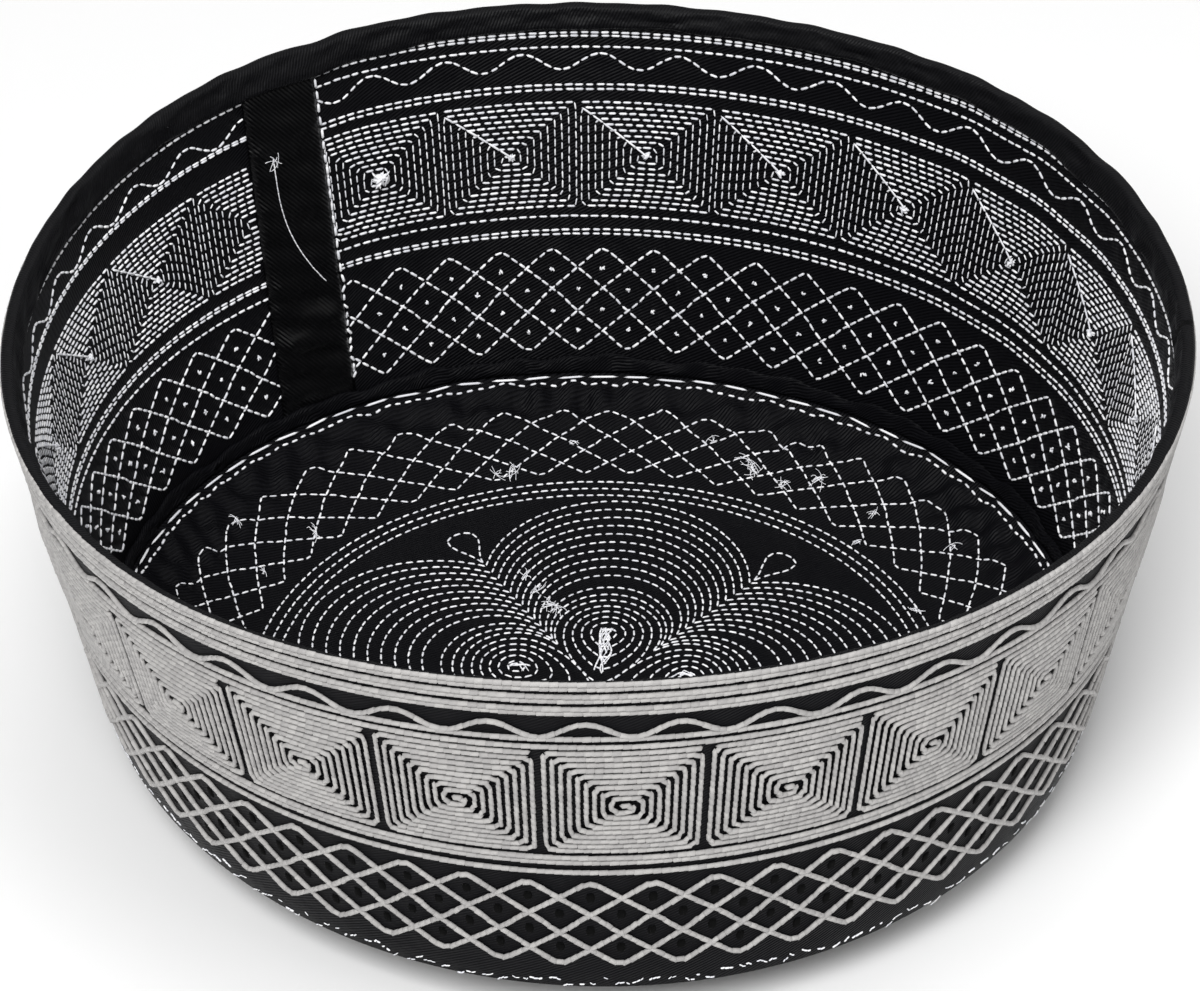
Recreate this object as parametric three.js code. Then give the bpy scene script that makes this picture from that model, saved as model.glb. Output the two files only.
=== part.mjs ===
// Kufi cap in stiffened black cloth, lying on its crown with the opening up.
// Millimetres, +Z up. The crown's flat middle rests on z = 0 at the origin.
import * as THREE from 'three';

// overall sizes
const rimRadius = 92;        // outside of the band at the opening
const seamRadius = 80;       // outside of the band at the crown seam
const seamHeight = 9.6;      // bottom edge of the band above the floor
const rimHeight = 75.6;      // middle of the wavy rim above the floor
const gap = 0.3;             // clearance between neighbouring pieces

// side band
const bandThickness = 1.8;
const bandRows = 5;
const bandSegments = 96;

// rim facing, folded over the top edge of the band
const facingTop = 0.9;       // cloth over the top edge
const facingWall = 1.1;      // cloth lying on the inside
const facingDepth = 5.2;     // how far it reaches down the inside
const facingRound = 0.5;     // rounding of the fold
const facingWrinkle = 0.22;
const facingWrinkleCount = 31;

// crown panel
const crownThickness = 1.4;
const crownRadius = 77.6;
const crownFlatRadius = 50;
const crownRise = 8.8;       // lift of the crown edge over its flat middle
const crownSegments = 144;
const crownRadii = [20, 38, 50, 56, 61, 65, 68.5, 72, 75, crownRadius];
const gatherCount = 36;
const gatherDepth = 0.28;
const gatherStart = 63;      // radius where the puckers begin
const gatherSway = 0.05;     // how far the puckers stray from even spacing, radians
const gatherSwayCount = 5;

// seam allowance standing up inside the crown seam
const weltWall = 1.2;
const weltHeight = 3.4;
const weltWave = 0.5;
const weltWaveCount = 17;

// ribbon over the back seam, on the inside
const tapeWidth = 14.3;
const tapeThickness = 0.8;
const tapeMiddle = 126.75;   // degrees round the opening
const tapeRows = 14;
const tapeColumns = 4;
const tapeRipple = 0.16;     // soft undulation of the ribbon's face
const tapeRippleLength = 13;

// slow waves of the rim height and of the seam outline, with turns, cosine and sine parts
const rimWaves = [
  { turns: 1, cosine: -0.6, sine: 0.4 },
  { turns: 2, cosine: -0.93, sine: -0.34 },
  { turns: 3, cosine: 0.3, sine: 1.11 },
];
const seamWaves = [
  { turns: 2, cosine: 0.42, sine: -0.68 },
  { turns: 3, cosine: 0, sine: 1.1 },
];
// how the opening departs from a circle about the crown's middle
const openingWaves = [
  { turns: 1, cosine: 0.3, sine: 0 },
  { turns: 2, cosine: -0.32, sine: 1.2 },
  { turns: 3, cosine: 0.18, sine: -0.29 },
];
// short puckers of the rim where the facing was sewn in with fullness
const rimPuckers = [
  { angle: 24, width: 3.2, lift: 0.35 },
  { angle: 36, width: 3.6, lift: 0.4 },
  { angle: 47, width: 3.4, lift: 0.3 },
  { angle: 122, width: 2.6, lift: -0.45 },
];

function waveSum(waves, angle) {
  return waves.reduce((sum, wave) => {
    const phase = wave.turns * angle;
    return sum + wave.cosine * Math.cos(phase) + wave.sine * Math.sin(phase);
  }, 0);
}

function puckerSum(angle) {
  const degrees = THREE.MathUtils.euclideanModulo(THREE.MathUtils.radToDeg(angle), 360);
  return rimPuckers.reduce((sum, pucker) => {
    const along = (degrees - pucker.angle) / pucker.width;
    return sum + pucker.lift * Math.exp(-along * along);
  }, 0);
}

function rimTop(angle) {
  return rimHeight + waveSum(rimWaves, angle) + puckerSum(angle);
}

// outside radius of the band at a height
function bandOuter(angle, height) {
  const share = (height - seamHeight) / (rimHeight - seamHeight);
  const bottom = seamRadius + waveSum(seamWaves, angle);
  const top = rimRadius + waveSum(openingWaves, angle);
  return bottom + (top - bottom) * share;
}

function bandInner(angle, height) {
  return bandOuter(angle, height) - bandThickness;
}

function polar(radius, angle, height) {
  return [radius * Math.cos(angle), radius * Math.sin(angle), height];
}

// closed solid through a row of point loops, either a full ring or capped at both ends
function loftSolid(loops, ring) {
  const loopSize = loops[0].length;
  const faces = [];
  const last = ring ? loops.length : loops.length - 1;
  for (let row = 0; row < last; row += 1) {
    const next = (row + 1) % loops.length;
    for (let i = 0; i < loopSize; i += 1) {
      const j = (i + 1) % loopSize;
      const corners = [
        row * loopSize + i,
        next * loopSize + i,
        next * loopSize + j,
        row * loopSize + j,
      ];
      faces.push(corners[0], corners[1], corners[2], corners[0], corners[2], corners[3]);
    }
  }
  if (!ring) {
    const end = (loops.length - 1) * loopSize;
    for (let i = 1; i < loopSize - 1; i += 1) {
      faces.push(0, i, i + 1, end, end + i + 1, end + i);
    }
  }
  return solidGeometry(loops.flat(), faces);
}

function solidGeometry(points, faces) {
  const geometry = new THREE.BufferGeometry();
  geometry.setAttribute('position', new THREE.Float32BufferAttribute(points.flat(), 3));
  geometry.setIndex(faces);
  geometry.computeVertexNormals();
  return geometry;
}

function ringSolid(segments, sectionAt) {
  const loops = [];
  for (let k = 0; k < segments; k += 1) {
    const angle = (2 * Math.PI * k) / segments;
    loops.push(sectionAt(angle).map(([radius, height]) => polar(radius, angle, height)));
  }
  return loftSolid(loops, true);
}

function sideBand() {
  return ringSolid(bandSegments, (angle) => {
    const top = rimTop(angle) - facingTop - gap;
    const outside = [];
    const inside = [];
    for (let row = 0; row < bandRows; row += 1) {
      const height = seamHeight + ((top - seamHeight) * row) / (bandRows - 1);
      outside.push([bandOuter(angle, height), height]);
      inside.unshift([bandInner(angle, height), height]);
    }
    return [...outside, ...inside];
  });
}

function rimFacing() {
  return ringSolid(bandSegments, (angle) => {
    const top = rimTop(angle);
    const under = top - facingTop;
    const wrinkle = facingWrinkle * Math.sin(facingWrinkleCount * angle);
    const foot = top - facingDepth + wrinkle;
    const outer = bandOuter(angle, top);
    const back = bandInner(angle, under) - gap;
    const footBack = bandInner(angle, foot) - gap;
    const face = back - facingWall;
    const footFace = footBack - facingWall - Math.abs(wrinkle);
    return [
      [outer, under],
      [outer, top - facingRound],
      [outer - facingRound, top],
      [face + facingRound, top],
      [face, top - facingRound],
      [footFace, foot + facingRound],
      [footFace + facingRound, foot],
      [footBack, foot],
      [back, under],
    ];
  });
}

// underside height of the crown: flat middle, then a rising edge with puckers
function crownUnder(radius, angle) {
  const share = Math.max(0, (radius - crownFlatRadius) / (crownRadius - crownFlatRadius));
  const fullness = Math.max(0, (radius - gatherStart) / (crownRadius - gatherStart));
  const taper = 4 * fullness * (1 - fullness); // nothing at either end, 1 halfway
  const sway = angle + gatherSway * Math.sin(gatherSwayCount * angle);
  return crownRise * share * share + gatherDepth * taper * Math.sin(gatherCount * sway);
}

function crownEdge(angle) {
  return crownRadius + waveSum(seamWaves, angle);
}

function crownPanel() {
  const points = [[0, 0, 0], [0, 0, crownThickness]];
  const faces = [];
  const rows = crownRadii.length;
  for (let k = 0; k < crownSegments; k += 1) {
    const angle = (2 * Math.PI * k) / crownSegments;
    const stretch = crownEdge(angle) / crownRadius;
    for (const lift of [0, crownThickness]) {
      for (const radius of crownRadii) {
        points.push(polar(radius * stretch, angle, crownUnder(radius, angle) + lift));
      }
    }
  }
  const index = (k, side, row) => 2 + ((k % crownSegments) * 2 + side) * rows + row;
  for (let k = 0; k < crownSegments; k += 1) {
    faces.push(0, index(k + 1, 0, 0), index(k, 0, 0));
    faces.push(1, index(k, 1, 0), index(k + 1, 1, 0));
    for (let row = 0; row < rows - 1; row += 1) {
      const under = [index(k, 0, row), index(k + 1, 0, row)];
      under.push(index(k + 1, 0, row + 1), index(k, 0, row + 1));
      faces.push(under[0], under[1], under[2], under[0], under[2], under[3]);
      const over = [index(k, 1, row), index(k, 1, row + 1)];
      over.push(index(k + 1, 1, row + 1), index(k + 1, 1, row));
      faces.push(over[0], over[1], over[2], over[0], over[2], over[3]);
    }
    const edge = [index(k, 0, rows - 1), index(k + 1, 0, rows - 1)];
    edge.push(index(k + 1, 1, rows - 1), index(k, 1, rows - 1));
    faces.push(edge[0], edge[1], edge[2], edge[0], edge[2], edge[3]);
  }
  return solidGeometry(points, faces);
}

function crownWelt() {
  return ringSolid(bandSegments, (angle) => {
    const foot = crownRise + crownThickness + gap;
    const top = foot + weltHeight + weltWave * Math.sin(weltWaveCount * angle);
    const back = bandInner(angle, foot) - gap;
    const topBack = bandInner(angle, top) - gap;
    return [
      [back, foot],
      [topBack, top - weltWall / 2],
      [topBack - weltWall / 2, top],
      [topBack - weltWall, top - weltWall / 2],
      [back - weltWall, foot],
    ];
  });
}

function seamTape() {
  const middle = THREE.MathUtils.degToRad(tapeMiddle);
  const weltTop = crownRise + crownThickness + gap + weltHeight + weltWave;
  const bottom = weltTop + gap;
  const top = rimTop(middle) - facingDepth - facingWrinkle - 2 * gap;
  const loops = [];
  for (let row = 0; row < tapeRows; row += 1) {
    const height = bottom + ((top - bottom) * row) / (tapeRows - 1);
    const ripple = tapeRipple * (1 + Math.sin((2 * Math.PI * height) / tapeRippleLength));
    const back = [];
    const face = [];
    for (let column = 0; column <= tapeColumns; column += 1) {
      const across = tapeWidth * (column / tapeColumns - 0.5);
      const angle = middle + across / bandInner(middle, height);
      const lift = column > 0 && column < tapeColumns ? ripple : 0;
      const radius = bandInner(angle, height) - gap;
      back.unshift(polar(radius, angle, height));
      face.push(polar(radius - tapeThickness - lift, angle, height));
    }
    loops.push([...face, ...back]);
  }
  return loftSolid(loops, false);
}

const blackCloth = new THREE.MeshStandardMaterial({ color: 0x131316, roughness: 0.78, metalness: 0 });
const blackFacing = new THREE.MeshStandardMaterial({ color: 0x0e0e11, roughness: 0.7, metalness: 0 });
const blackRibbon = new THREE.MeshStandardMaterial({ color: 0x0c0c0f, roughness: 0.42, metalness: 0 });

const pieces = [
  { name: 'side_band', geometry: sideBand(), material: blackCloth },
  { name: 'crown', geometry: crownPanel(), material: blackCloth },
  { name: 'rim_facing', geometry: rimFacing(), material: blackFacing },
  { name: 'crown_welt', geometry: crownWelt(), material: blackCloth },
  { name: 'seam_tape', geometry: seamTape(), material: blackRibbon },
];

const kufi = new THREE.Group();
kufi.name = 'kufi';
for (const { name, geometry, material } of pieces) {
  const mesh = new THREE.Mesh(geometry, material);
  mesh.name = name;
  kufi.add(mesh);
}

export default kufi;
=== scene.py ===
# Kufi cap in black cloth with white line embroidery, lying on its crown
import math

import bpy
import numpy as np
from mathutils import Matrix


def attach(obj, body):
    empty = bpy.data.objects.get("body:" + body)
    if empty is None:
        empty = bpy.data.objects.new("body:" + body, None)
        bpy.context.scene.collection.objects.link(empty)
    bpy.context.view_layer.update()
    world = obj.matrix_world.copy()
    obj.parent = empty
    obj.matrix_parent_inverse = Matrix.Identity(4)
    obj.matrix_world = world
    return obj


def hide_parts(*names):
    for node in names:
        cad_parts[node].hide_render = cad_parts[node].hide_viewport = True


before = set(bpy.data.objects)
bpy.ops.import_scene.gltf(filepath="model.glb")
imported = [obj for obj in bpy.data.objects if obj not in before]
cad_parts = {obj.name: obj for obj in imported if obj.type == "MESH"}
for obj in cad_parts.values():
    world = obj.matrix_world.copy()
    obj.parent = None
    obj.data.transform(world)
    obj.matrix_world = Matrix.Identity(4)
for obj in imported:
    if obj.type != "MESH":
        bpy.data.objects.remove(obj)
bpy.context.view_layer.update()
rng = np.random.default_rng(7)
mm = 0.001

# sizes of the cap in mm, the same as the solids
cap = {
    "rimRadius": 92.0, "seamRadius": 80.0, "seamZ": 9.6, "rimZ": 75.6,
    "crownRadius": 77.6, "crownFlat": 50.0, "crownRise": 8.8,
    "seamAngle": 126.75,                      # closing seam of the band, degrees
    "frontStart": 0.2, "frontRise": 1.25,     # how the sides pass over into the front
}
# slow waves of the rim's height, of the opening and of the crown seam: turns, cosine, sine
rimWaves = [(1, -0.6, 0.4), (2, -0.93, -0.34), (3, 0.3, 1.11)]
openingWaves = [(1, 0.3, 0.0), (2, -0.32, 1.2), (3, 0.18, -0.29)]
seamWaves = [(2, 0.42, -0.68), (3, 0.0, 1.1)]
rimPuckers = [(24, 3.2, 0.35), (36, 3.6, 0.4), (47, 3.4, 0.3), (122, 2.6, -0.45)]  # angle, width, lift


def waveSum(waves, theta):
    return sum(c * np.cos(n * theta) + s * np.sin(n * theta) for n, c, s in waves)


def ripples(parts, theta):                    # parts are size, count, phase
    return sum(size * np.sin(count * theta + phase) for size, count, phase in parts)


def plateau(deg, middle, reach):              # 1 about the middle, 0 past the reach
    return np.exp(-((deg - middle) / reach) ** 4)


def rimTop(theta):
    deg = np.degrees(theta) % 360
    pucker = sum(lift * np.exp(-((deg - at) / width) ** 2) for at, width, lift in rimPuckers)
    return cap["rimZ"] + waveSum(rimWaves, theta) + pucker


def bandRadius(theta, z):                     # outside of the band
    share = (z - cap["seamZ"]) / (cap["rimZ"] - cap["seamZ"])
    bottom = cap["seamRadius"] + waveSum(seamWaves, theta)
    top = cap["rimRadius"] + waveSum(openingWaves, theta)
    return bottom + (top - bottom) * share


def crownStretch(theta):                      # how the uneven seam widens the crown
    return (cap["crownRadius"] + waveSum(seamWaves, theta)) / cap["crownRadius"]


def frontShare(theta):                        # 0 at the back and the sides, 1 at the front
    return np.clip(-cap["frontStart"] - cap["frontRise"] * np.sin(theta), 0, 1)


def polar(radius, theta, z):
    return np.stack([radius * np.cos(theta), radius * np.sin(theta), z + 0 * radius], -1)


def unit(vectors):
    return vectors / (np.linalg.norm(vectors, axis=-1, keepdims=True) + 1e-9)


# meshes from arrays in mm, all in triangles
def makeMesh(name, verts, tris, uv=None):
    mesh = bpy.data.meshes.new(name)
    mesh.vertices.add(len(verts))
    mesh.vertices.foreach_set("co", (np.asarray(verts) * mm).astype(np.float32).ravel())
    tris = np.asarray(tris, np.int32)
    mesh.loops.add(tris.size)
    mesh.loops.foreach_set("vertex_index", tris.ravel())
    mesh.polygons.add(len(tris))
    mesh.polygons.foreach_set("loop_start", np.arange(0, tris.size, 3, dtype=np.int32))
    mesh.polygons.foreach_set("use_smooth", np.ones(len(tris), bool))
    if uv is not None:                        # uv in mm along the cloth
        layer = mesh.uv_layers.new(name="clothMm")
        layer.data.foreach_set("uv", np.asarray(uv, np.float32)[tris.ravel()].ravel())
    mesh.update()
    mesh.validate()
    piece = bpy.data.objects.new(name, mesh)
    bpy.context.collection.objects.link(piece)
    return piece


def gridTris(nu, nv, closeU=False, closeV=False):
    iu = np.arange(nu if closeU else nu - 1)
    iv = np.arange(nv if closeV else nv - 1)
    a, b = np.meshgrid(iu, iv, indexing="ij")
    a2, b2 = (a + 1) % nu, (b + 1) % nv
    q = [a * nv + b, a2 * nv + b, a2 * nv + b2, a * nv + b2]
    return np.concatenate([np.stack([q[0], q[1], q[2]], -1).reshape(-1, 3),
                           np.stack([q[0], q[2], q[3]], -1).reshape(-1, 3)])


def ringPiece(name, section, count):
    # section(theta) gives the closed outline of the ring's wall, each point as radius and height
    theta = np.linspace(0, 2 * math.pi, count, endpoint=False)
    outline = [np.broadcast_arrays(r, z, theta)[:2] for r, z in section(theta)]
    pts = np.stack([polar(r, theta, z) for r, z in outline], 1)
    nv = pts.shape[1]
    step = np.linalg.norm(np.diff(pts, axis=1, prepend=pts[:, :1]), axis=2)
    meanRadius = (cap["rimRadius"] + cap["seamRadius"]) / 2
    u = np.repeat((theta * meanRadius)[:, None], nv, 1)
    uv = np.stack([u, np.cumsum(step, 1)], -1)
    return makeMesh(name, pts.reshape(-1, 3), gridTris(count, nv, True, True), uv.reshape(-1, 2))


# a stitch is one six-sided bead, full between two shares of its length, and its ends dip to the cloth
bead = {"sides": 6, "full": (0.2, 0.8), "dip": 0.55}


def beadMesh(name, starts, ends, normals, width, height):
    n, sides = len(starts), bead["sides"]
    along = ends - starts
    d = unit(along)
    side = unit(np.cross(normals, d))
    up = np.cross(d, side)
    w, h = width[:, None] * 0.5, height[:, None] * 0.5
    ring = np.linspace(0, 2 * math.pi, sides, endpoint=False)
    verts = np.empty((n, 2 * sides + 2, 3))
    for r, at in enumerate(bead["full"]):
        mid = starts + along * at
        for k, a in enumerate(ring):
            verts[:, r * sides + k] = mid + side * (w * math.cos(a)) + up * (h * math.sin(a))
    verts[:, -2] = starts - up * h * bead["dip"]
    verts[:, -1] = ends - up * h * bead["dip"]
    tris = []
    for k in range(sides):
        j = (k + 1) % sides
        tris += [(k, j, sides + j), (k, sides + j, sides + k)]
        tris += [(2 * sides, j, k), (2 * sides + 1, sides + k, sides + j)]
    faces = (np.array(tris)[None] + (np.arange(n) * verts.shape[1])[:, None, None]).reshape(-1, 3)
    return makeMesh(name, verts.reshape(-1, 3), faces)


# how uneven the stitches are, unless a thread says otherwise
stitchDefaults = {"jitter": 0.06, "drift": 0.05, "slant": 0, "uprightThin": 0, "flat": 0.8,
                  "dashVary": (0.88, 1.08), "widthVary": (0.9, 1.1)}


class Stitches:
    # collects the stitches of one piece before its mesh is made
    def __init__(self, name, style):
        self.name, self.style, self.rows = name, style, []

    def along(self, pts, normals, **change):
        style = {**stitchDefaults, **self.style, **change}
        step = np.linalg.norm(np.diff(pts, axis=0), axis=1)
        dist = np.concatenate([[0], np.cumsum(step)])
        count = max(1, int(round(dist[-1] / style["pitch"])))
        pitch = dist[-1] / count              # the pitch that fits the line
        jitter = style["jitter"] * pitch
        mid = (np.arange(count) + 0.5) * pitch + rng.uniform(-jitter, jitter, count)
        dash = style["dash"] / style["pitch"] * pitch * rng.uniform(*style["dashVary"], count)

        def at(values, where):
            return np.stack([np.interp(where, dist, values[:, i]) for i in range(3)], -1)

        a, b = at(pts, mid - dash / 2), at(pts, mid + dash / 2)
        normal = at(normals, mid)
        sway = unit(np.cross(normal, b - a))
        drift = style["drift"]
        a = a + sway * rng.uniform(-drift, drift, (count, 1)) - sway * style["slant"]
        b = b + sway * rng.uniform(-drift, drift, (count, 1)) + sway * style["slant"]
        upright = np.abs(unit(b - a))[:, 2]
        wide = style["width"] * rng.uniform(*style["widthVary"], count)
        wide = wide * (1 - style["uprightThin"] * upright)
        self.rows.append((a, b, normal, wide, wide * style["flat"]))

    def build(self):
        parts = [np.concatenate(c) for c in zip(*self.rows)]
        piece = beadMesh(self.name, *parts)
        print("stitches", self.name, len(parts[0]), "beads", len(piece.data.polygons), "triangles")
        return piece


# threads in mm: pitch, length of the part that shows, thickness, and the middle's height over the cloth
insideThread = {"pitch": 1.75, "dash": 1.58, "width": 0.43, "flat": 0.8, "lift": 0.1}
outsideCord = {"pitch": 1.3, "dash": 2.1, "width": 0.86, "flat": 0.85, "slant": 0.07, "drift": 0.02,
               "lift": 0.26}

# the band's cloth in mm: insets run from the solid's outside to the visible faces
bandCloth = {"outerInset": 0.35, "innerInset": 1.3, "underRim": 1.2, "overSeam": 0.2, "hem": 0.25,
             "hemInset": 1.0, "rows": 22, "count": 288}
flare = math.atan2(cap["rimRadius"] - cap["seamRadius"], cap["rimZ"] - cap["seamZ"])


def wallPath(thetaDeg, share, outside, lift):
    # points and normals on the band, from degrees and shares of the height
    theta = np.radians(np.asarray(thetaDeg, float))
    z = cap["seamZ"] + np.asarray(share, float) * (rimTop(theta) - cap["seamZ"])
    out = np.stack([np.cos(theta) * math.cos(flare), np.sin(theta) * math.cos(flare),
                    np.full_like(theta, -math.sin(flare))], -1)
    inset = bandCloth["outerInset"] if outside else bandCloth["innerInset"]
    pts = polar(bandRadius(theta, z) - inset, theta, z)
    normals = out if outside else -out
    return pts + normals * lift, normals


# the crown's cloth in mm, gathered along its edge
crownCloth = {
    "underRaise": 0.75, "thickness": 0.65, "tuck": 0.8, "count": 400,
    "flatRings": (2.0, 8, 20, 32, 42), "slopeRings": (48, 64, 9), "edgeRings": (65.2, 14),
    "gathers": 74, "gatherStart": 67.5, "gatherDepth": 0.6, "gatherLean": 5,
    "gatherSway": [(0.04, 5, 0), (0.02, 11, 1)],                  # off even spacing: size, count, phase
    "gatherVary": [(0.4, 7, 2)], "gatherMean": 0.6,               # deeper here, shallower there
    "wideFolds": 0.53, "wideDepth": 0.5, "wideLean": 9,           # broad folds under the gathers
    "lumps": 0.7, "lumpX": (1.15, 0.8, 0.45), "lumpY": (1.3, 0.9, 0.5),   # small crumples, radians per mm
}


def crownHeight(radius, theta):
    look = crownCloth
    r = radius / crownStretch(theta)
    q = np.clip((r - cap["crownFlat"]) / (cap["crownRadius"] - cap["crownFlat"]), 0, None)
    full = np.clip((r - look["gatherStart"]) / (cap["crownRadius"] - look["gatherStart"]), 0, 1)
    turns = look["gathers"] * (theta + ripples(look["gatherSway"], theta))
    deep = look["gatherMean"] + ripples(look["gatherVary"], theta)
    fold = deep * np.sin(turns + look["gatherLean"] * full)
    fold = fold + look["wideDepth"] * np.sin(look["wideFolds"] * turns - look["wideLean"] * full + 1)
    x, y = radius * np.cos(theta), radius * np.sin(theta)
    (ax, bx, cx), (ay, by, cy) = look["lumpX"], look["lumpY"]
    lumps = np.sin(ax * x + bx * np.sin(cx * y)) + np.sin(ay * y + by * np.sin(cy * x) + 1)
    taper = 4 * full * (1 - full)             # nothing at either end, 1 halfway
    return cap["crownRise"] * q * q + look["gatherDepth"] * taper * (fold + look["lumps"] * lumps)


def crownPath(x, y, outside, lift):
    # points and normals on the crown's inside, or on its underside
    x, y = np.asarray(x, float), np.asarray(y, float)
    r, theta = np.hypot(x, y), np.arctan2(y, x)
    z = crownHeight(r, theta) + crownCloth["underRaise"]
    slope = crownHeight(r + 0.5, theta) - crownHeight(r - 0.5, theta)      # rise over 1 mm
    normals = unit(np.stack([-slope * np.cos(theta), -slope * np.sin(theta), np.ones_like(r)], -1))
    if outside:
        return np.stack([x, y, z], -1) - normals * lift, -normals
    return np.stack([x, y, z + crownCloth["thickness"]], -1) + normals * lift, normals


def srgb(hexColor):
    c = [int(hexColor[i:i + 2], 16) / 255 for i in (1, 3, 5)]
    return [v / 12.92 if v <= 0.04045 else ((v + 0.055) / 1.055) ** 2.4 for v in c] + [1.0]


def addNode(tree, kind, inputs=None, **settings):
    node = tree.nodes.new(kind)
    for key, value in settings.items():
        setattr(node, key, value)
    for socket, value in (inputs or {}).items():
        if isinstance(value, bpy.types.NodeSocket):
            tree.links.new(value, node.inputs[socket])
        else:
            node.inputs[socket].default_value = value
    return node


def newMaterial(name, settings):
    material = bpy.data.materials.new(name)
    material.use_nodes = True
    shader = material.node_tree.nodes["Principled BSDF"]
    for socket, value in settings.items():
        shader.inputs[socket].default_value = value
    return material


def finishMaterial(material, tint, bump):
    shader = material.node_tree.nodes["Principled BSDF"]
    material.node_tree.links.new(tint.outputs["Result"], shader.inputs["Base Color"])
    material.node_tree.links.new(bump.outputs["Normal"], shader.inputs["Normal"])
    return material


def clothMaterial(name, look):
    material = newMaterial(name, {
        "Roughness": look["roughness"], "IOR": 1.5, "Specular IOR Level": look["gloss"],
        "Sheen Weight": look["sheen"], "Sheen Roughness": 0.45, "Sheen Tint": srgb("#8C8C94")})
    tree = material.node_tree
    uv = addNode(tree, "ShaderNodeUVMap", uv_map="clothMm").outputs["UV"]
    turned = addNode(tree, "ShaderNodeMapping", {
        "Vector": uv, "Rotation": (0, 0, math.radians(look["twillAngle"]))})
    # one rib per twillMm, drawn coarser than the real 0.3 mm so that the ribs show;
    # at scale 1 a wave texture has 20 bands in 2 pi
    ribs = addNode(tree, "ShaderNodeTexWave", {
        "Vector": turned.outputs["Vector"], "Scale": 2 * math.pi / (20 * look["twillMm"]),
        "Distortion": 0.6, "Detail": 1.0, "Detail Scale": 2.0}, wave_type="BANDS", bands_direction="X")
    ripple = addNode(tree, "ShaderNodeTexNoise", {
        "Vector": uv, "Scale": 1 / look["rippleMm"], "Detail": 3.0})
    twill = addNode(tree, "ShaderNodeBump", {
        "Strength": look["twillBump"], "Distance": 0.12 * mm, "Height": ribs.outputs["Fac"]})
    folds = addNode(tree, "ShaderNodeBump", {
        "Strength": look["rippleBump"], "Distance": 0.6 * mm, "Height": ripple.outputs["Fac"],
        "Normal": twill.outputs["Normal"]})
    tint = addNode(tree, "ShaderNodeMix", {
        "Factor": ribs.outputs["Fac"], "A": srgb(look["dark"]), "B": srgb(look["light"])}, data_type="RGBA")
    return finishMaterial(material, tint, folds)


def threadMaterial(name, look):
    material = newMaterial(name, {
        "Roughness": look["roughness"], "IOR": 1.5, "Specular IOR Level": 0.4,
        "Sheen Weight": look["sheen"], "Sheen Roughness": 0.4})
    tree = material.node_tree
    island = addNode(tree, "ShaderNodeNewGeometry").outputs["Random Per Island"]   # a tone per stitch
    tint = addNode(tree, "ShaderNodeMix", {
        "Factor": island, "A": srgb(look["dark"]), "B": srgb(look["light"])}, data_type="RGBA")
    place = addNode(tree, "ShaderNodeTexCoord").outputs["Object"]
    # bundles of fibres, far coarser than single ones, which are too fine to show
    fibre = addNode(tree, "ShaderNodeTexNoise", {
        "Vector": place, "Scale": 1 / (look["fibreMm"] * mm), "Detail": 2.0})
    bump = addNode(tree, "ShaderNodeBump", {
        "Strength": 0.5, "Distance": 0.08 * mm, "Height": fibre.outputs["Fac"]})
    return finishMaterial(material, tint, bump)


# stiffened polyester twill: near black, with fine slanted ribs and a low, soft gloss
blackTwill = clothMaterial("wovenBlackPolyesterTwill", {
    "roughness": 0.44, "gloss": 0.055, "sheen": 0.0, "twillAngle": 62, "twillMm": 0.55,
    "twillBump": 0.8, "rippleMm": 6.0, "rippleBump": 0.9, "dark": "#060608", "light": "#101013"})
# soft cotton folded over the rim: small wrinkles that catch the light
blackFacing = clothMaterial("foldedBlackCotton", {
    "roughness": 0.5, "gloss": 0.13, "sheen": 0.01, "twillAngle": 25, "twillMm": 0.5,
    "twillBump": 0.5, "rippleMm": 4.0, "rippleBump": 1.0, "dark": "#050506", "light": "#111114"})
# satin ribbon: smooth floats give long soft highlights
blackRibbon = clothMaterial("wovenBlackSatinRibbon", {
    "roughness": 0.3, "gloss": 0.25, "sheen": 0.0, "twillAngle": 40, "twillMm": 0.6,
    "twillBump": 0.8, "rippleMm": 6.0, "rippleBump": 1.0, "dark": "#020203", "light": "#070708"})
# lower thread of the machine stitches: clean white filament with a slight gloss
whiteThread = threadMaterial("spunWhitePolyesterThread", {
    "roughness": 0.5, "sheen": 0.1, "dark": "#DADBE1", "light": "#FDFDFF", "fibreMm": 0.25})
# upper embroidery thread: thicker, matt and greyer
greyCord = threadMaterial("twistedGreyWhiteCotton", {
    "roughness": 0.72, "sheen": 0.15, "dark": "#9A9897", "light": "#AEACAA", "fibreMm": 0.3})
# air holes worked between the threads: painted shade, a near-black colour that stands in for the shadow
# inside each hole
holeShadePaint = newMaterial("openEyeletShadow", {
    "Base Color": srgb("#020202"), "Roughness": 0.95, "Specular IOR Level": 0.1})
print("materials done")


def dress(piece, material, node=None):
    piece.data.materials.append(material)
    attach(piece, "root")
    if node:
        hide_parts(node)
    return piece


def bandSection(theta):
    foot = cap["seamZ"] + bandCloth["overSeam"]
    top = rimTop(theta) - bandCloth["underRim"]
    heights = [foot + up * (top - foot) for up in np.linspace(0, 1, bandCloth["rows"])]
    outer = [(bandRadius(theta, z) - bandCloth["outerInset"], z) for z in heights]
    inner = [(bandRadius(theta, z) - bandCloth["innerInset"], z) for z in heights[::-1]]
    hem = foot - bandCloth["hem"]
    return outer + inner + [(bandRadius(theta, hem) - bandCloth["hemInset"], hem)]


dress(ringPiece("bandCloth", bandSection, bandCloth["count"]), blackTwill, "side_band")


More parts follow.
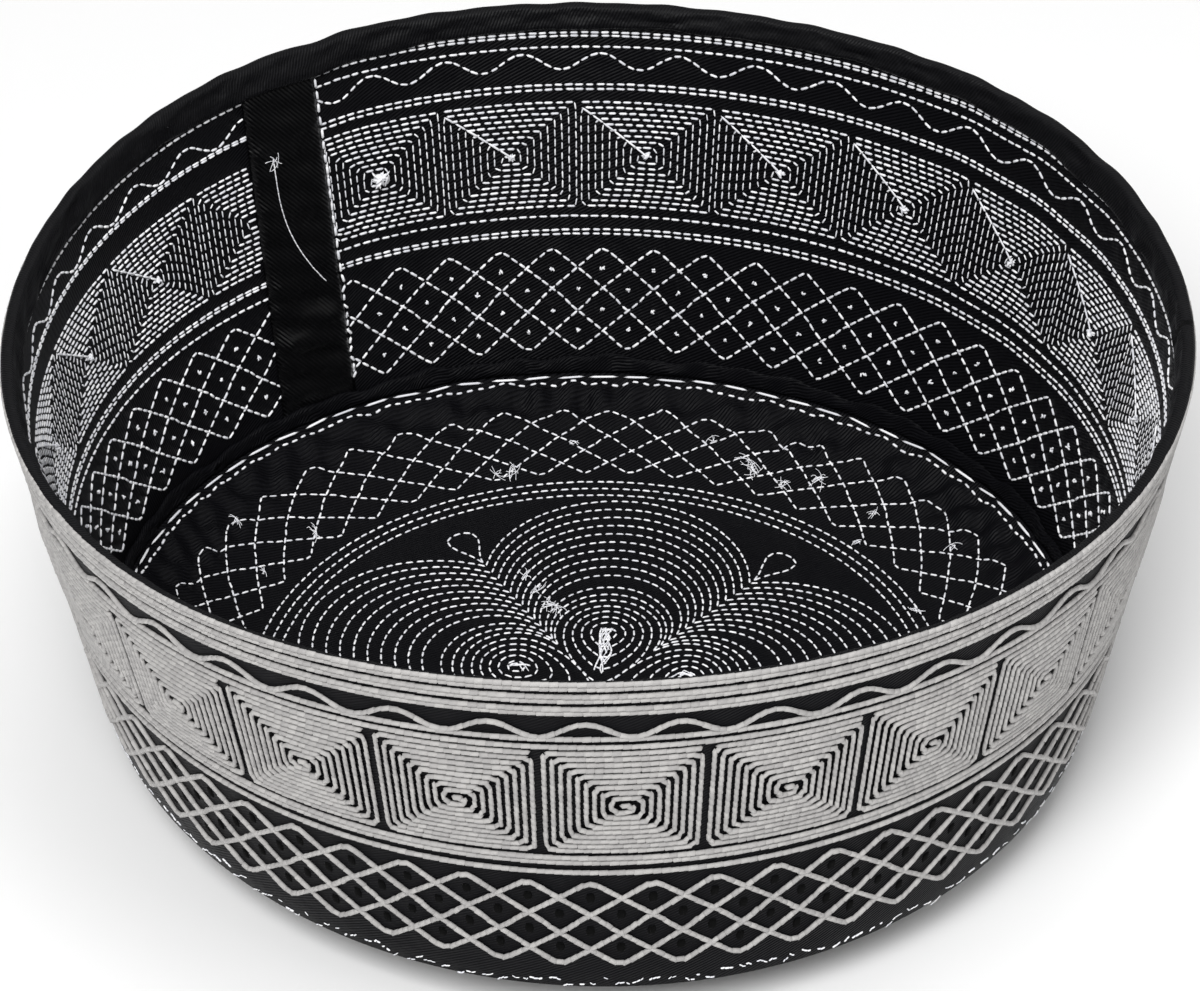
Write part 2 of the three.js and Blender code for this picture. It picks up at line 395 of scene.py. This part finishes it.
def crownPanel():
    count = crownCloth["count"]
    theta = np.linspace(0, 2 * math.pi, count, endpoint=False)[:, None]
    start, rings = crownCloth["edgeRings"]
    edge = np.linspace(start, cap["crownRadius"] + crownCloth["tuck"], rings)
    radii = np.concatenate([crownCloth["flatRings"], np.linspace(*crownCloth["slopeRings"]), edge])
    r = radii[None] * crownStretch(theta)
    z = crownHeight(r, theta) + crownCloth["underRaise"]
    under = polar(r, theta, z)
    over = polar(r, theta, z + crownCloth["thickness"])[:, ::-1]
    pts = np.concatenate([under, over], 1)
    nv = pts.shape[1]
    first, a, b = np.zeros(count - 2, int), np.arange(1, count - 1) * nv, np.arange(2, count) * nv
    capUnder = np.stack([first, b, a], -1)    # the small discs in the middle
    capOver = np.stack([first, a, b], -1) + nv - 1
    tris = np.concatenate([gridTris(count, nv, True, False), capUnder, capOver])
    return makeMesh("crownCloth", pts.reshape(-1, 3), tris, pts[..., :2].reshape(-1, 2))


dress(crownPanel(), blackTwill, "crown")

# strip folded over the rim, in mm; wrinkles are size, count, phase
facing = {
    "top": 0.9, "wall": 0.6, "depth": 5.2, "footWave": 0.25, "count": 480,
    "outerInset": 0.05, "backInset": 1.45, "footInset": 1.4, "footTuck": 0.1,   # from the band's outside
    "farMiddle": 72, "farReach": 38, "shallower": 1.3,            # narrower along the far side
    "ribbonReach": 6.5, "ribbonStep": 0.75,                       # it lies over the ribbon's end
    "roll": 0.35, "slope": 0.62,                                  # the front edge rolls and falls inwards
    "wrinkle": 0.38, "creases": [(0.5, 31, 0), (0.35, 53, 1), (0.4, 17, 2)],
    "fineCreases": [(0.5, 43, 2), (0.4, 71, 0)],
}


def facingSection(theta):
    deg = np.degrees(theta) % 360
    top = rimTop(theta)
    crease, fine = ripples(facing["creases"], theta), ripples(facing["fineCreases"], theta)
    shallow = facing["shallower"] * plateau(deg, facing["farMiddle"], facing["farReach"])
    foot = top - facing["depth"] + shallow + facing["footWave"] * crease
    over = facing["ribbonStep"] * plateau(deg, cap["seamAngle"], facing["ribbonReach"])
    outer = bandRadius(theta, top) - facing["outerInset"] - facing["roll"] * frontShare(theta)
    back = bandRadius(theta, top - facing["top"]) - facing["backInset"]
    footBack = bandRadius(theta, foot) - facing["footInset"] - over
    face = back - facing["wall"]
    footFace = footBack - facing["wall"] - facing["footTuck"]
    w = facing["wrinkle"]
    slope = facing["slope"] * frontShare(theta)
    middle = (top + foot) / 2
    overRim = [                               # from the outer hem over the fold
        (outer - 0.3, top - 0.95), (outer - 0.05, top - 0.7), (outer - 0.1, top - 0.35 + w * 0.5 * fine),
        (outer - 0.4, top - 0.08 + w * 0.5 * fine), (outer - 0.85, top + w * 0.6 * fine),
        (face + 0.5, top - 0.02 + w * 0.5 * fine), (face + 0.12, top - 0.35)]
    downInside = [                            # to the foot and up the back
        (face - w * crease, top - 1.1 - 0.6 * slope),
        (0.6 * face + 0.4 * footFace - w * fine, 0.4 * middle + 0.6 * top - 1.2),
        (0.35 * face + 0.65 * footFace + w * crease, middle - 0.6), (footFace - w * fine, foot + 0.9),
        (footFace + 0.05, foot + 0.35), (footFace + 0.3, foot), (footBack, foot + 0.05), (back, top - 0.95)]
    return [(r, z - slope * (outer - r)) for r, z in overRim] + downInside


dress(ringPiece("rimFacing", facingSection, facing["count"]), blackFacing, "rim_facing")

# raised seam allowance along the crown seam, in mm; waves are size, count, phase
welt = {"wall": 0.85, "height": 3.0, "wave": 0.55, "overCrown": 1.55, "count": 540,
        "backInset": 1.4, "topInset": 1.75,
        "waves": [(0.5, 17, 0), (0.45, 29, 1), (0.45, 61, 2)],
        "fineWaves": [(0.5, 23, 3), (0.6, 47, 0), (0.6, 97, 1)]}


def weltSection(theta):
    foot = cap["crownRise"] + welt["overCrown"]
    wave, fine = ripples(welt["waves"], theta), ripples(welt["fineWaves"], theta)
    top = foot + welt["height"] + welt["wave"] * wave
    back = bandRadius(theta, foot) - welt["backInset"]
    topBack = bandRadius(theta, top) - welt["topInset"]
    w = welt["wall"]
    return [
        (back, foot), (topBack, top - 0.4), (topBack - 0.3 * w, top),
        (topBack - 0.75 * w + 0.1 * fine, top - 0.15), (topBack - w + 0.25 * fine, top - 0.7),
        (back - 0.85 * w + 0.3 * wave, foot + 1.6), (back - 1.1 * w + 0.35 * fine, foot + 0.7),
        (back - 1.05 * w, foot)]


dress(ringPiece("crownWelt", weltSection, welt["count"]), blackTwill, "crown_welt")

# ribbon over the closing seam, in mm; ripples are size, turn along, turn across, phase
tape = {
    "width": 14.3, "thickness": 0.75, "selvedge": 0.3, "bottom": 12.4, "underFacing": 4.2,
    "inset": 1.4, "faceInset": 2, "backLift": 0.05, "tuckBottom": 4, "tuckTop": 3,
    "rows": 56, "columns": 17, "ripple": 0.8,
    "ripples": [(0.4, 0.52, 0.16, 0), (0.4, 1.25, -0.35, 1), (0.14, 2.3, 0.5, 0)],
    "slack": 1.7, "slackHeight": 25, "slackReach": 9,             # loose in its lower third
}


def tapePoint(across, z, lift):
    middle = math.radians(cap["seamAngle"])
    theta = middle + across / (bandRadius(middle, z) - tape["faceInset"])
    return polar(bandRadius(theta, z) - tape["inset"] - lift, theta, z)


def tapePiece():
    top = rimTop(math.radians(cap["seamAngle"])) - tape["underFacing"]
    z = np.linspace(tape["bottom"], top, tape["rows"])[:, None]
    across = np.linspace(-0.5, 0.5, tape["columns"])[None] * tape["width"]
    edge = 1 - (2 * across / tape["width"]) ** 8
    wave = sum(size * np.sin(z * u + v * across + phase) for size, u, v, phase in tape["ripples"])
    # thin where it goes under its neighbours
    tuck = np.clip((z - tape["bottom"]) / tape["tuckBottom"], 0.3, 1)
    tuck = tuck * np.clip((top - z) / tape["tuckTop"], 0.4, 1)
    loose = 1 + tape["slack"] * np.exp(-((z - tape["slackHeight"]) / tape["slackReach"]) ** 2)
    swell = tape["thickness"] - tape["selvedge"] + tape["ripple"] * loose * (1 + wave) * 0.5
    face = tapePoint(across + 0 * z, z + 0 * across, tape["selvedge"] + swell * edge * tuck)
    back = tapePoint(across + 0 * z, z + 0 * across, tape["backLift"])[:, ::-1]
    pts = np.concatenate([face, back], 1)
    nu, nv = pts.shape[:2]
    uv = np.stack([np.concatenate([across, across[:, ::-1]], 1) + 0 * z, z + np.zeros((1, nv))], -1)
    ends = []
    for row, flip in ((0, False), (nu - 1, True)):
        for k in range(nv // 2 - 1):
            q = [row * nv + k, row * nv + k + 1, row * nv + nv - 2 - k, row * nv + nv - 1 - k]
            q = q if flip else q[::-1]
            ends += [(q[0], q[1], q[2]), (q[0], q[2], q[3])]
    tris = np.concatenate([gridTris(nu, nv, False, True), ends])
    return makeMesh("seamTape", pts.reshape(-1, 3), tris, uv.reshape(-1, 2))


dress(tapePiece(), blackRibbon, "seam_tape")
print("cloth pieces done")

# pattern of the band: angles in degrees, heights as shares from the crown seam to the rim
sides = {
    "Inside": {
        "thread": insideThread, "limits": (122.1, 131.3 - 360),   # ribbon's right edge round to its left
        # each row at the ribbon's right edge and at its left edge
        "rows": [(0.927, 0.935), (0.918, 0.927), (0.888, 0.912), (0.787, 0.824), (0.774, 0.818),
                 (0.438, 0.424), (0.398, 0.416), (0.389, 0.381)]},
    "Outside": {
        "thread": outsideCord, "limits": (126.6, 126.9 - 360),
        # each row at the back and at the front
        "rows": [(0.985, 0.996), (0.972, 0.983), (0.956, 0.959), (0.943, 0.946), (0.921, 0.921),
                 (0.908, 0.908), (0.827, 0.827), (0.802, 0.802), (0.445, 0.445), (0.43, 0.43),
                 (0.397, 0.397)]},
}
waveRow = {"height": 0.022, "pitch": 8.6, "peak": 81.0, "Inside": 0.852, "Outside": 0.853}
# squares wound from one line; puff is how far the cords heap up in the middle, in mm
squares = {"first": 123.3, "pitch": 15.62, "count": 23, "loops": 9, "core": 0.4, "tail": 0.3, "steps": 24,
           "Inside": {"span": (0.464, 0.743), "gap": 0.3, "puff": 0.0, "uprightThin": 0.42},
           "Outside": {"span": (0.47, 0.782), "gap": 0.56, "puff": 0.7, "uprightThin": 0.2}}
# net of crossing lines with rows of air holes in its cells
lattice = {"pitch": 6.24, "lines": 5, "reach": 2.5, "over": 1.2, "soft": 0.022,
           "dotRows": (0.8, 0.6, 0.4, 0.2), "cells": range(-52, 6),
           "Inside": {"peak": 83.0, "span": (0.067, 0.35)},
           "Outside": {"peak": 84.1, "span": (0.083, 0.364)}}


def clipRange(limits, theta, *others):
    keep = (theta <= limits[0]) & (theta >= limits[1])
    return [theta[keep]] + [v[keep] for v in others]


def squareCentre(k):
    return squares["first"] - (k + 0.5) * squares["pitch"]


def squareSpiral(k, span, gap):
    # one line that winds from the outer corner to the middle
    halfW, halfH = squares["pitch"] / 2 - gap, (span[1] - span[0]) / 2
    turns = squares["loops"] + squares["core"]
    corners = [(halfW, halfH)]
    for i in range(squares["loops"]):
        f, g = 1 - i / turns, 1 - (i + 1) / turns
        w, h = halfW * f, halfH * f
        corners += [(-w, h), (-w, -h), (w, -h), (w, halfH * g)]
    corners[-1] = (w, 0)
    corners += [(-w * squares["tail"], 0)]
    c = np.array(corners)
    runs = [np.linspace(a, b, squares["steps"], endpoint=False) for a, b in zip(c[:-1], c[1:])]
    x, y = np.concatenate(runs + [c[-1:]]).T
    rise = 1 - np.maximum(np.abs(x) / halfW, np.abs(y) / halfH)
    return squareCentre(k) + x, (span[0] + span[1]) / 2 + y, rise


def zigzag(theta, peak, pitch, low, high):
    # straight diagonals with softly turned peaks; one diagonal reaches over a few pitches
    phase = ((theta - peak) / (pitch * lattice["reach"])) % 2
    tri = 1 - 2 * np.abs(np.where(phase > 1, 2 - phase, phase))
    soft = lattice["soft"]
    tri = np.sign(tri) * (1 + soft - np.sqrt((1 - np.abs(tri)) ** 2 + soft ** 2))
    return (low + high) / 2 + (high - low) / 2 * tri


def bandEmbroidery(side):
    outside = side == "Outside"
    limits, style = sides[side]["limits"], sides[side]["thread"]
    lift = style["lift"]
    full = np.linspace(*limits, 1500)
    share = frontShare(np.radians(full)) if outside else (full - limits[0]) / (limits[1] - limits[0])
    rows = Stitches("rows" + side, style)
    for a, b in sides[side]["rows"]:
        rows.along(*wallPath(full, a + (b - a) * share, outside, lift))
    swing = np.cos((full - waveRow["peak"]) / waveRow["pitch"] * 2 * math.pi)
    rows.along(*wallPath(full, waveRow[side] + waveRow["height"] * swing, outside, lift))
    square = squares[side]
    blocks = Stitches("squares" + side, {**style, "uprightThin": square["uprightThin"]})
    for k in range(-1 if outside else 0, squares["count"]):
        theta, s, rise = clipRange(limits, *squareSpiral(k, square["span"], square["gap"]))
        if 0 <= k < squares["count"] - 1:
            blocks.along(*wallPath(theta, s, outside, lift + (square["puff"] * rise)[:, None]))
        else:                                 # a square that the seam cuts: each side is its own run
            cut = np.flatnonzero(np.abs(np.diff(theta)) + np.abs(np.diff(s)) * 50 > 1.5) + 1
            for run in np.split(np.arange(len(theta)), cut):
                if len(run) > 3:
                    blocks.along(*wallPath(theta[run], s[run], outside, lift))
    net = Stitches("lattice" + side, style)
    for j in range(lattice["lines"]):
        peak = lattice[side]["peak"] + j * lattice["pitch"]
        s = zigzag(full, peak, lattice["pitch"], *lattice[side]["span"])
        net.along(*wallPath(full, s, outside, lift * (lattice["over"] if j % 2 else 1)))
    return rows, blocks, net


def holePlaces(side):
    low, high = lattice[side]["span"]
    limits = sides[side]["limits"]
    for row, at in enumerate(lattice["dotRows"]):
        for j in lattice["cells"]:
            theta = lattice[side]["peak"] + (j + 0.5 * (row % 2)) * lattice["pitch"]
            if limits[1] + 1 < theta < limits[0] - 1:
                yield theta, low + (high - low) * at


looseThread = {"pitch": 1.1, "dash": 1.45, "jitter": 0.0, "drift": 0.02}


def stray(stitches, pts, normals, **change):
    # a thread that lies over the others without a break
    stitches.along(pts, normals, **{**looseThread, **change})


def tangle(stitches, centre, normal, size, loops, thickness):
    # fuzzy thread ends: a few small open loops
    normal = np.asarray(normal, float) / np.linalg.norm(normal)
    side = np.cross(normal, [0.3, 0.2, 0.9])
    if np.linalg.norm(side) < 0.3:
        side = np.cross(normal, [0.9, 0.1, 0.1])
    side /= np.linalg.norm(side)
    other = np.cross(normal, side)
    t = np.linspace(0, 1, 14)
    normals = np.repeat(normal[None], len(t), 0)
    for i in range(loops):
        a, b = rng.uniform(0, 2 * math.pi, 2)
        reach = size * rng.uniform(0.4, 1.0)
        x = reach * (np.sin(a + 3.4 * t) * 0.35 + (t - 0.5) * 1.5 * math.cos(b))
        y = reach * (np.cos(a + 4.1 * t) * 0.3 + (t - 0.5) * 1.5 * math.sin(b))
        h = 0.25 + size * 0.12 * np.sin(math.pi * t) * rng.uniform(0.3, 1.0)
        pts = centre + x[:, None] * side + y[:, None] * other + h[:, None] * normal
        stray(stitches, pts, normals, pitch=0.5, dash=0.68, width=thickness, flat=1.0)


def knot(stitches, centre, normal, size, count):
    # a small heap of short stitches, most of them lying flat
    for i in range(count):
        d = rng.normal(size=3)
        d -= normal * d.dot(normal) * 0.6
        d /= np.linalg.norm(d)
        mid = centre + normal * rng.uniform(0.1, 0.45) * size + rng.normal(size=3) * size * 0.16
        pts = np.stack([mid - d * size * 0.5, mid + d * size * 0.5])
        stray(stitches, pts, np.stack([normal, normal]), pitch=size, dash=size,
              width=0.4 * min(1.2, size), flat=1.0)


rowsIn, squaresIn, latticeIn = bandEmbroidery("Inside")
# thread that jumps from a square's upper corner to its middle, and the knots there, in mm;
# the inset from the corner is in degrees and the drop a share of the height
jump = {"cornerInset": 0.35, "cornerDrop": 0.012, "lift": 0.42,
        "thread": {"width": 0.5, "pitch": 2.4, "dash": 2.7}}
knotLift, firstKnot, plainKnot = 0.2, {"size": 2.6, "count": 26}, {"size": 1.3, "count": 9}
low, high = squares["Inside"]["span"]
middleShare, cornerShare = (low + high) / 2, high - jump["cornerDrop"]
line = np.linspace(0, 1, 16)
for k in range(squares["count"] - 1):
    centre = squareCentre(k)
    corner = centre + squares["pitch"] / 2 - jump["cornerInset"]
    if k > 0:
        heights = cornerShare + (middleShare - cornerShare) * line
        stray(squaresIn, *wallPath(corner + (centre - corner) * line, heights, False, jump["lift"]),
              **jump["thread"])
    p, n = wallPath([centre], [middleShare], False, knotLift)
    knot(squaresIn, p[0], n[0], **(plainKnot if k else firstKnot))

dotLift, dot = 0.05, {"size": 0.8, "count": 4}   # the air holes show inside as small knots
dotsIn = Stitches("dotsInside", insideThread)
for theta, s in holePlaces("Inside"):
    p, n = wallPath([theta], [s], False, dotLift)
    knot(dotsIn, p[0], n[0], **dot)
for piece in (rowsIn, squaresIn, latticeIn, dotsIn):
    dress(piece.build(), whiteThread)
for piece in bandEmbroidery("Outside"):
    dress(piece.build(), greyCord)

# air holes on the outside: flat spots of painted shade where the holes are, in mm
hole = {"pitch": 1.5, "dash": 2.2, "width": 2.0, "flat": 0.14, "jitter": 0, "drift": 0, "lift": 0.03}
eyelets = Stitches("eyeletShadeOutside", hole)
for theta, s in holePlaces("Outside"):
    eyelets.along(*wallPath([theta - 0.5, theta + 0.5], [s, s], True, hole["lift"]))
dress(eyelets.build(), holeShadePaint)

# worn thread ends that peep out along the crown seam: degrees long and apart, shares of the wall's height
frays = {"long": (0.3, 1.5), "apart": (-0.1, 1.0), "height": (0.008, 0.032), "lean": 0.014, "bow": 0.006,
         "width": (0.14, 0.32), "lift": 0.1}  # width and lift in mm
edge = Stitches("edgeDashes", {**outsideCord, "pitch": 0.7, "dash": 0.85, "drift": 0.08})
theta, lastTheta = sides["Outside"]["limits"]
t = np.linspace(0, 1, 5)
while theta > lastTheta + 2:
    long = rng.uniform(*frays["long"])
    lean, bow = rng.uniform(-1, 1, 2) * (frays["lean"], frays["bow"])
    s = rng.uniform(*frays["height"]) + lean * t + bow * np.sin(math.pi * t)
    path = wallPath(theta - long * t, s, True, frays["lift"])
    edge.along(*path, width=rng.uniform(*frays["width"]))
    theta -= long + rng.uniform(*frays["apart"])
dress(edge.build(), whiteThread)
print("band embroidery done")

# pattern of the crown, in mm from the flower's centre; a petal's ring is its top and its notches
flower = {
    "centre": (0.3, -0.2), "axis": 84.0, "petals": 5,
    "rings": 10, "top": 51.6, "topStep": 2.34, "notch": 37.8, "notchStep": 2.07,
    "innerRings": [(27.2, 17.2), (25.3, 15.2), (23.7, 13.3)],
    "loops": 5, "loopCentre": 14.8, "loopStep": 1.46,
    "loopBack": (1.15, 0.16), "loopTaper": (0.2, 0.06),           # first loop, and more for each next one
    "leafFoot": 38.8, "leafLong": 9.2, "leafWide": 3.1,
}
crownRings = (56.5, 54.8, 53.1)
crownNet = {"peaks": 48, "peak": 88.5, "outer": 71.8, "inner": 58.6, "turns": 5}
crownThread = {"Inside": {**insideThread, "dash": 1.45, "width": 0.34},
               "Under": {**outsideCord, "pitch": 2.2, "dash": 3.0, "lift": 0.24}}


def arcThrough(a, b, c, count):
    # circle arc through three points
    m = 2 * np.array([b - a, c - a])
    centre = np.linalg.solve(m, [b @ b - a @ a, c @ c - a @ a])
    radius = np.linalg.norm(a - centre)
    angles = np.unwrap([math.atan2(*(p - centre)[::-1]) for p in (a, b, c)])
    t = np.interp(np.linspace(0, 2, count), [0, 1, 2], angles)
    return centre + radius * np.stack([np.cos(t), np.sin(t)], -1)


def direction(deg):
    return np.array([math.cos(math.radians(deg)), math.sin(math.radians(deg))])


def petalArcs(axis, half):
    rings = [(flower["top"] - flower["topStep"] * k, flower["notch"] - flower["notchStep"] * k)
             for k in range(flower["rings"])]
    for top, notch in rings + flower["innerRings"]:
        ends = notch * direction(axis - half), notch * direction(axis + half)
        yield arcThrough(ends[0], top * direction(axis), ends[1], 60)


def petalLoops(axis):
    # closed loops round the petal's middle, drawn out towards the flower's middle
    out, across = direction(axis), direction(axis + 90)
    t = np.linspace(0, 2 * math.pi, 80)
    inner = np.cos(t) < 0
    for j in range(flower["loops"]):
        size = flower["loopStep"] * (j + 1)
        back, taper = [start + step * j for start, step in (flower["loopBack"], flower["loopTaper"])]
        long = np.where(inner, size * back, size) * np.cos(t)
        wide = size * np.sin(t) * np.where(inner, 1 - taper * np.cos(t) ** 2, 1)
        yield (flower["loopCentre"] + long)[:, None] * out + wide[:, None] * across


def petalLeaf(axis):
    # small loop that stands between two petals
    out, across = direction(axis), direction(axis + 90)
    leaf = np.linspace(0, 1, 60)
    pts = (flower["leafFoot"] + flower["leafLong"] * np.sin(math.pi * leaf))[:, None] * out
    wide = flower["leafWide"] * np.sin(2 * math.pi * leaf) * np.sin(math.pi * leaf) ** 0.6
    return pts + wide[:, None] * across


def crownEmbroidery(side):
    style = crownThread[side]
    lines = Stitches("crownLines" + side, style)
    petals = Stitches("crownFlower" + side, style)

    def draw(target, pts):
        x, y = (pts + np.array(flower["centre"])).T
        far = np.hypot(x, y) / cap["crownRadius"]
        grow = 1 + waveSum(seamWaves, np.arctan2(y, x)) / cap["crownRadius"] * far ** 2
        # further out the pattern follows the crown's uneven edge
        target.along(*crownPath(x * grow, y * grow, side == "Under", style["lift"]))

    turn = np.radians(np.linspace(0, 360, 700))
    for r in crownRings:
        draw(lines, r * np.stack([np.cos(turn), np.sin(turn)], -1))
    theta = np.linspace(0, 360 * crownNet["turns"], 5200)         # so many turns close the net
    r = zigzag(theta, crownNet["peak"], 360 / crownNet["peaks"], crownNet["inner"], crownNet["outer"])
    a = np.radians(theta)
    draw(lines, r[:, None] * np.stack([np.cos(a), np.sin(a)], -1))
    half = 180 / flower["petals"]
    for i in range(flower["petals"]):
        axis = flower["axis"] + 2 * half * i
        for pts in (*petalArcs(axis, half), *petalLoops(axis), petalLeaf(axis + half)):
            draw(petals, pts)
    return lines, petals


crownLinesIn, crownFlowerIn = crownEmbroidery("Inside")
fuzz = Stitches("threadEnds", {"pitch": 0.5, "dash": 0.68, "width": 0.2, "flat": 1.0})
# ends carried from each petal's loops to the middle in mm, the most and longest on the first petal
manyEnds, fewEnds = {"count": 10, "reach": (5, 12)}, {"count": 3, "reach": (2, 5)}
carried = {"start": 1, "lift": 0.35, "spread": 0.4, "swing": (0.3, 1.0), "arch": (0.0, 0.5),
           "width": (0.16, 0.3), "thread": {"pitch": 0.7, "dash": 0.95}}
t = np.linspace(0, 1, 24)
for i in range(flower["petals"]):
    axis = flower["axis"] + 360 / flower["petals"] * i
    out, across = direction(axis), direction(axis + 90)
    ends = fewEnds if i else manyEnds
    for j in range(ends["count"]):
        r = flower["loopCentre"] + carried["start"] - t * rng.uniform(*ends["reach"])
        off = rng.normal() * carried["spread"]
        off = off + rng.uniform(*carried["swing"]) * np.sin(t * rng.uniform(3, 9) + rng.uniform(0, 6))
        pts = np.array(flower["centre"]) + r[:, None] * out + off[:, None] * across
        p, n = crownPath(pts[:, 0], pts[:, 1], False, carried["lift"])
        p = p + n * (rng.uniform(*carried["arch"]) * np.sin(math.pi * t))[:, None]
        stray(fuzz, p, n, width=rng.uniform(*carried["width"]), **carried["thread"])
# loose ends between the left petals and on the net, in mm: x, y, size, loops
looseLift, looseWidth = 0.1, 0.11
looseEnds = [
    (-10, 26, 3.2, 7), (-12, 30, 2.6, 5), (-8, 22, 3.0, 7), (-7, 20.5, 2.6, 6), (-14.5, 57.5, 2.6, 7),
    (-17, 57, 2.0, 5), (26, 58, 2.8, 7), (27, 56.5, 2.4, 6), (32, 53, 2.4, 7), (38, 53, 2.8, 8),
    (47, 44, 2.2, 6), (-48, 40, 2.6, 6), (-56, 29, 2.0, 4), (20, 63.5, 1.8, 4), (-61, 39, 2.2, 6),
    (-4, 64, 1.8, 4), (44, 38, 2.0, 5), (60, 33, 2.0, 5), (53, 20, 2.0, 5), (12, -40, 2.4, 5),
    (-30, -48, 2.2, 5), (40, -42, 2.2, 5)]
for x, y, size, loops in looseEnds:
    p, n = crownPath([x], [y], False, looseLift)
    tangle(fuzz, p[0], n[0], size, loops, looseWidth)

# two rows along the crown seam: radius and height over the cloth in mm, and what each row changes
seamThread = {"pitch": 5.9, "dash": 5.2, "width": 0.42, "flat": 0.8, "jitter": 0.05, "drift": 0.2}
seamRows = [(77.2, 0.7, {}), (76.2, 0.15, {"pitch": 1.9, "dash": 1.3, "drift": 0.08})]
seam = Stitches("seamStitches", seamThread)
turn = np.radians(np.linspace(0, 360, 900))
for radius, lift, change in seamRows:
    r = radius * crownStretch(turn)
    seam.along(*crownPath(r * np.cos(turn), r * np.sin(turn), False, lift), **change)

# stitching along the ribbon's right edge, in mm; it wanders below the wanderTop
ribbonThread = {"bottom": 15, "underRim": 6, "outset": 0.1, "lift": 0.45, "wanderTop": 34}
tapeThread = Stitches("ribbonStitches", {**insideThread, "pitch": 2.3, "dash": 1.9, "width": 0.5})
top = rimTop(math.radians(cap["seamAngle"])) - ribbonThread["underRim"]
z = np.linspace(ribbonThread["bottom"], top, 160)
inward = np.repeat(-np.append(direction(cap["seamAngle"]), 0)[None], len(z), 0)
wander = np.where(z < ribbonThread["wanderTop"], 0.55 * np.sin(z * 2.6), 0.06 * np.sin(z))
across = -tape["width"] / 2 - ribbonThread["outset"] + wander
tapeThread.along(tapePoint(across, z, ribbonThread["lift"]), inward)
# one loose thread that curls down across the ribbon from a tangled end, drawn in mm
t = np.linspace(0, 1, 60)
across = 3.6 - 0.9 * t - 6.2 * t ** 3 + 0.35 * np.sin(6 * t)
height = 61.5 - 26 * t + 0.5 * np.sin(7 * t)
loose = tapePoint(across, height, 1.95 + 0.25 * np.sin(9 * t))
stray(tapeThread, loose, inward[:len(t)], width=0.2, flat=1.0)
tangle(tapeThread, tapePoint(3.6, 60.5, 1.8), inward[0], 2.4, 5, 0.12)

for piece in (crownLinesIn, crownFlowerIn, fuzz, seam, tapeThread):
    dress(piece.build(), whiteThread)
for piece in crownEmbroidery("Under"):
    dress(piece.build(), greyCord)
print("crown embroidery done")

# floor, light and camera, in metres
studio = {
    "floor": 8, "world": 0.32, "target": (0, 0, 0.03),
    "softboxes": [                            # name, place, size, power
        ("keySoftbox", (-0.2, -0.8, 0.95), 0.5, 14.0), ("fillSoftbox", (0.75, -0.4, 0.65), 0.7, 2.0),
        ("topSoftbox", (0.1, 0.15, 1.2), 0.7, 4.0)],
    "eye": (0.0001, -0.6136, 0.4994), "lens": 145.53, "sensor": 36,
    "turns": [("Z", -0.038), ("X", 53.222), ("Z", 0.023)],        # degrees of swing, tilt and roll
}
bpy.ops.mesh.primitive_plane_add(size=studio["floor"], location=(0, 0, 0))
floor = bpy.context.object
floor.name = "paleFloor"
# matt backdrop paper: even and pale, with no gloss
floor.data.materials.append(newMaterial("mattPaleBackdropPaper", {
    "Base Color": srgb("#F4F4F4"), "Roughness": 0.9, "Specular IOR Level": 0.1}))

world = bpy.data.worlds.new("softWhiteStudio")
bpy.context.scene.world = world
world.use_nodes = True
background = world.node_tree.nodes["Background"]
background.inputs["Color"].default_value = srgb("#FFFFFF")
background.inputs["Strength"].default_value = studio["world"]

for name, place, size, power in studio["softboxes"]:
    light = bpy.data.lights.new(name, "AREA")
    light.energy, light.size = power, size
    lamp = bpy.data.objects.new(name, light)
    lamp.location = place
    aim = np.array(studio["target"]) - np.array(place)
    lean = math.atan2(math.hypot(aim[0], aim[1]), -aim[2])
    lamp.rotation_euler = (lean, 0, math.atan2(aim[1], aim[0]) - math.pi / 2)
    bpy.context.collection.objects.link(lamp)

camera = bpy.data.cameras.new("photoCamera")
camera.sensor_width, camera.lens = studio["sensor"], studio["lens"]
eye = bpy.data.objects.new("photoCamera", camera)
eye.location = studio["eye"]
swing, tilt, roll = [Matrix.Rotation(math.radians(deg), 3, axis) for axis, deg in studio["turns"]]
eye.rotation_euler = (swing @ tilt @ roll).to_euler()
bpy.context.collection.objects.link(eye)
bpy.context.scene.camera = eye
bpy.context.scene.view_settings.view_transform = "Standard"
print("studio done")
